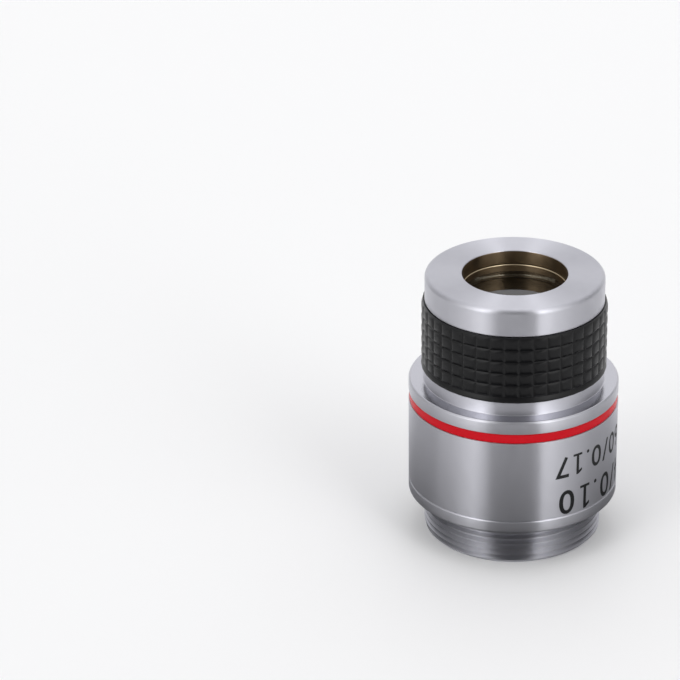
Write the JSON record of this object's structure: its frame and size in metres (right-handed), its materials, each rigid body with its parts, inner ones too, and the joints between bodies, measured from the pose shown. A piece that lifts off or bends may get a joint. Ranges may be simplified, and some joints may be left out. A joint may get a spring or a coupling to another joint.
{
  "type": "microscope objective",
  "caption": "Low-power microscope objective: satin metal barrel with a standard rear thread, red colour band, black knurled grip and open nose ring over two cemented lens doublets.",
  "frame": {"origin": "on the optical axis, in the plane of the mounting shoulder that seats on the nosepiece", "axes": "+Z along the optical axis from the rear thread towards the nose and the specimen"},
  "size_m": [0.024, 0.024, 0.0319],
  "materials": {
    "satin_chrome": "satin",
    "red_enamel": "gloss",
    "black_anodised": "satin",
    "blackened_brass": "satin",
    "bare_brass": "turned",
    "screw_steel": "turned",
    "coated_glass": "polished"
  },
  "bodies": {
    "root": {"thread_mount": "satin_chrome", "barrel_sleeve": "satin_chrome", "nose_ring": "satin_chrome", "red_band": "red_enamel", "knurled_ring": "black_anodised", "lens_barrel": "blackened_brass", "parfocal_lock_ring": "bare_brass", "rear_stop": "blackened_brass", "front_lens_retainer": "blackened_brass", "front_lens_cell": "blackened_brass", "rear_lens_cell": "blackened_brass", "rear_lens_retainer": "blackened_brass", "spacer_tube": "blackened_brass", "aperture_stop": "blackened_brass", "spacing_washer": "bare_brass", "centring_screws": "screw_steel", "front_flint_lens": "coated_glass", "front_crown_lens": "coated_glass", "rear_flint_lens": "coated_glass", "rear_crown_lens": "coated_glass"}
  },
  "joints": []
}
